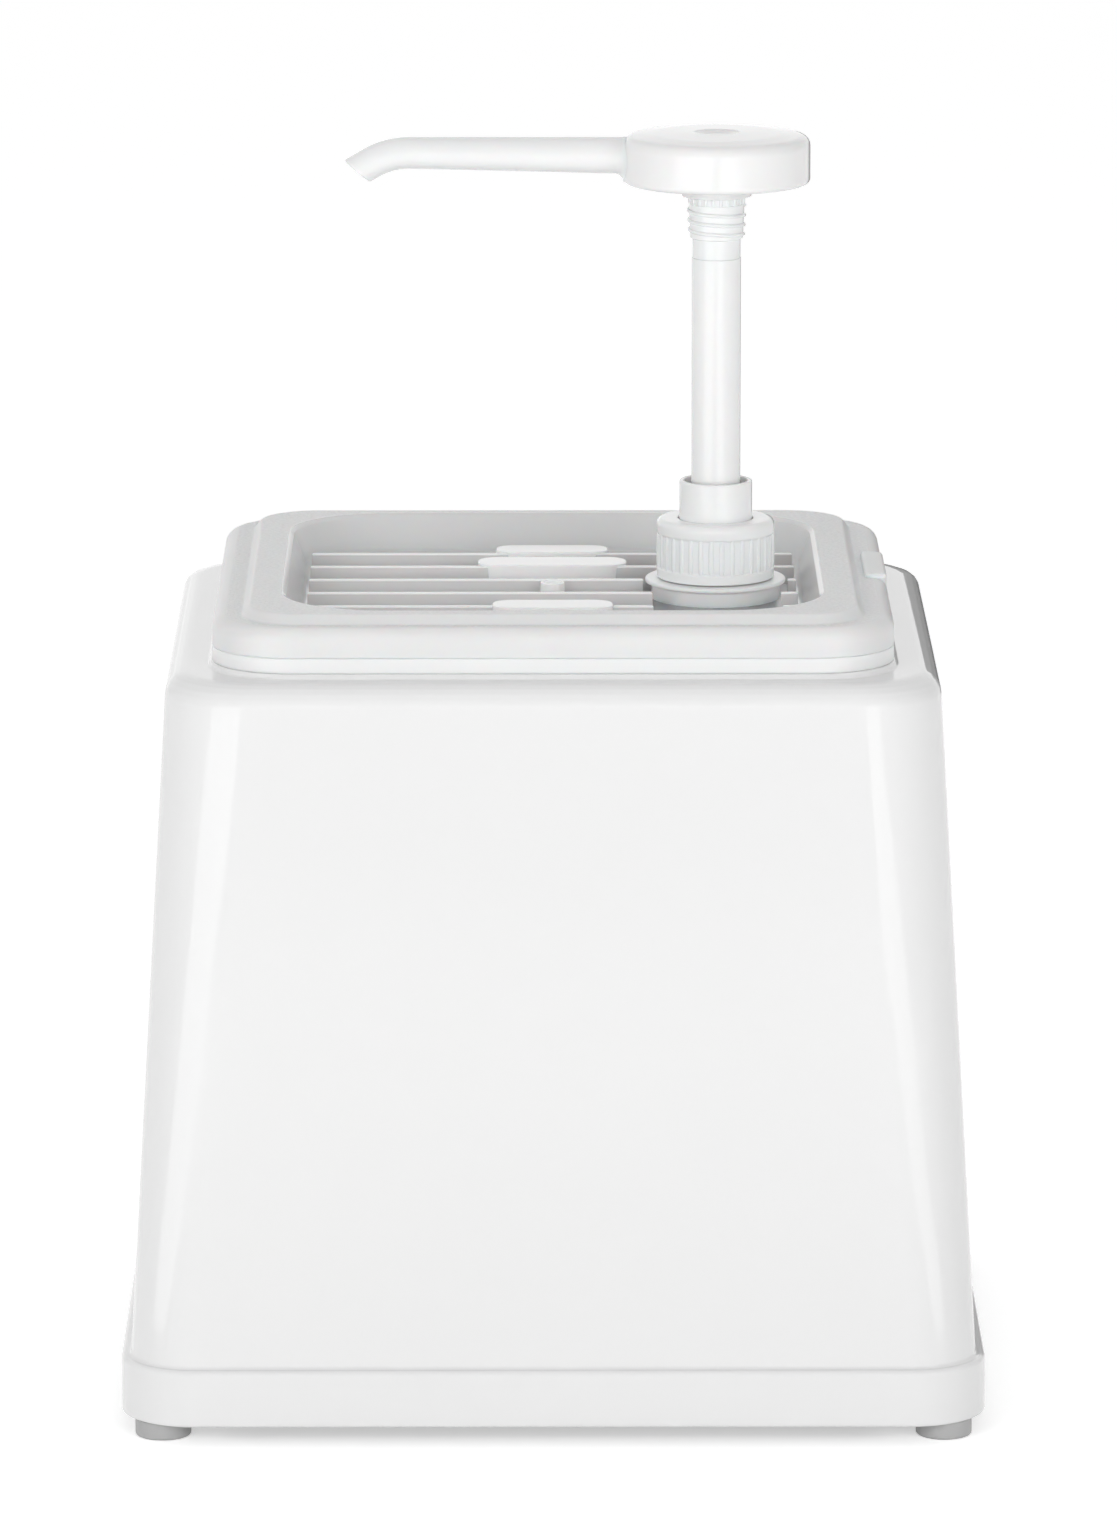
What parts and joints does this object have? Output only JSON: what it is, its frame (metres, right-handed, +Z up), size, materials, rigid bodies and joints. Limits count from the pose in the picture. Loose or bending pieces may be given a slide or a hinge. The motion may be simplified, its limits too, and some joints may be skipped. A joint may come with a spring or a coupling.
{
  "type": "countertop pump dispenser",
  "caption": "Countertop pump dispenser: tapered housing on rubber feet, catering container with a ribbed lid, and a screw-on hand pump with a swivelling spout.",
  "frame": {"origin": "on the floor under the middle of the housing", "axes": "+Z up, front of the housing towards -Y, pump on the +X side with its spout towards -X"},
  "size_m": [0.224, 0.208, 0.3265],
  "materials": {
    "housing": "glossy moulded white plastic",
    "foot_rubber": "matt grey rubber",
    "container": "white moulded plastic",
    "lid": "translucent milky plastic with a fine grain on the plateau",
    "pump": "glossy white plastic",
    "clear_tube": "translucent tube",
    "seal": "pale soft seal",
    "spring_wire": "drawn stainless wire",
    "ball": "polished stainless ball"
  },
  "bodies": {
    "stand": {"housing_shell": "housing", "foot_front_left": "foot_rubber", "foot_front_right": "foot_rubber", "foot_rear_left": "foot_rubber", "foot_rear_right": "foot_rubber"},
    "container_body": {"container": "container"},
    "lid_body": {"lid": "lid", "neck_fitting": "lid", "neck_gasket": "seal", "neck_nut": "lid"},
    "pump_body": {"pump_collar": "pump", "sealing_washer": "seal", "pump_chamber": "clear_tube", "inlet_ball": "ball", "ball_retainer": "pump", "dip_tube": "clear_tube", "return_spring": "spring_wire"},
    "cap_body": {"screw_cap": "pump"},
    "piston_body": {"piston_seal": "seal"},
    "plunger": {"piston_rod": "pump", "stem": "pump", "outlet_ball": "ball", "pump_head": "pump"}
  },
  "joints": [
    {"name": "container_lift", "type": "slide", "parent": "stand", "child": "container_body", "axis": [0, 0, 1], "range_m": [0, 0.16]},
    {"name": "lid_lift", "type": "slide", "parent": "container_body", "child": "lid_body", "axis": [0, 0, 1], "range_m": [0, 0.16]},
    {"name": "pump_rise", "type": "slide", "parent": "lid_body", "child": "pump_body", "axis": [0, 0, 1], "range_m": [0, 0.0063]},
    {"name": "cap_turn", "type": "hinge", "parent": "pump_body", "child": "cap_body", "pos_m": [0.043, 0, 0.2163], "axis": [0, 0, 1], "range_deg": [0, 540]},
    {"name": "pump_stroke", "type": "slide", "parent": "pump_body", "child": "piston_body", "axis": [0, 0, -1], "range_m": [0, 0.064], "stiffness_N_per_m": 120, "springref_m": -0.06, "deforming": ["return_spring"]},
    {"name": "head_swivel", "type": "hinge", "parent": "piston_body", "child": "plunger", "pos_m": [0.043, 0, 0.3204], "axis": [0, 0, 1], "continuous": true}
  ],
  "couplings": [
    {"joint": "cap_turn", "follows": "pump_rise", "rad_per_m": 1485.4}
  ]
}
